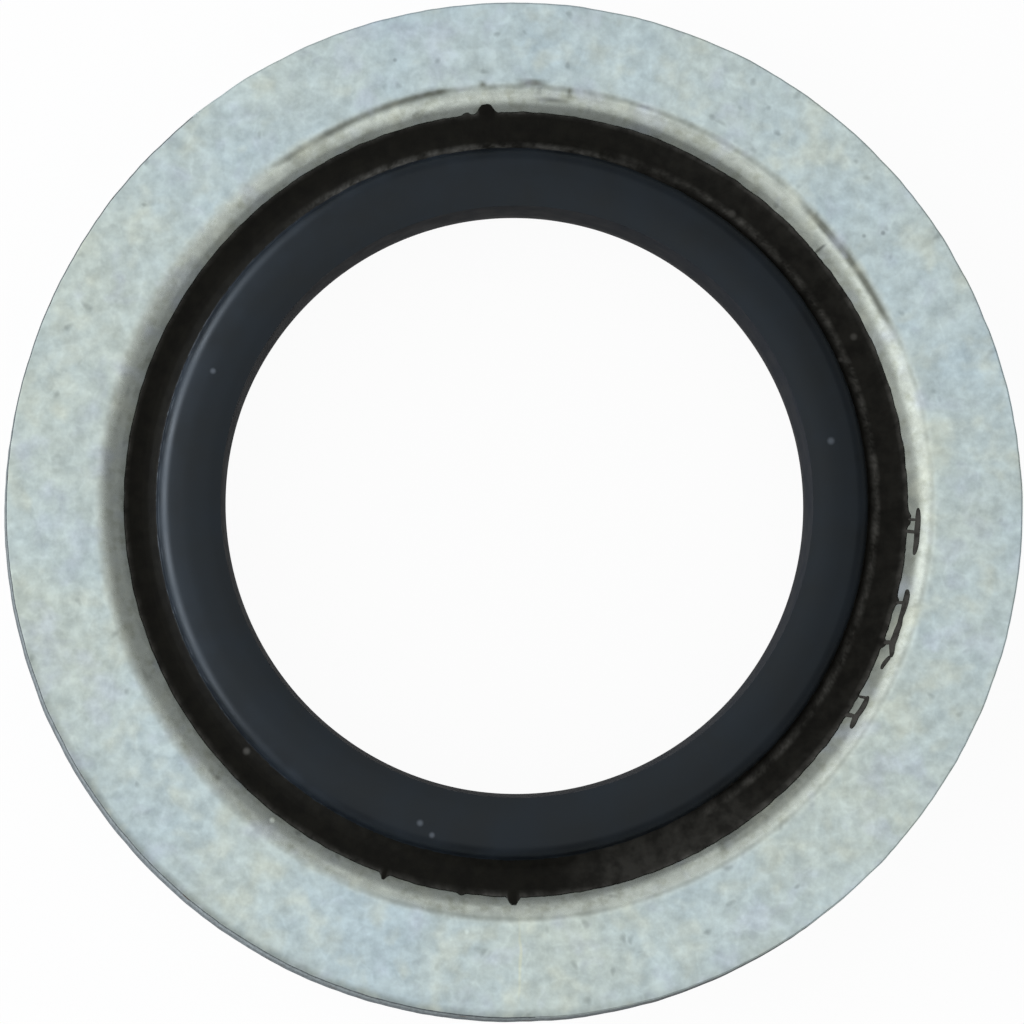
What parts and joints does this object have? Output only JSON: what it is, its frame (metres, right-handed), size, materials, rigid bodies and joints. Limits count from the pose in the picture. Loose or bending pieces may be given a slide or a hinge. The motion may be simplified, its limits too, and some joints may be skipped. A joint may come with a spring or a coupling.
{
  "type": "bonded sealing washer",
  "caption": "Flat plated steel ring with a rubber seal bonded in its bore. The seal's rounded lip stands proud of both faces and seals under a screw head.",
  "frame": {"origin": "centre of the seal's bore, halfway between the two faces", "axes": "+Z along the bore's axis and square to both faces; the ring's slight runout is towards -Y"},
  "size_m": [0.01, 0.01, 0.0014],
  "materials": {
    "zinc_plated_steel": "satin zinc plate, faintly mottled",
    "nitrile_rubber": "moulded, satin on the lip and matt on the skin"
  },
  "bodies": {
    "root": {"steel_ring": "zinc_plated_steel", "rubber_seal": "nitrile_rubber"}
  },
  "joints": []
}
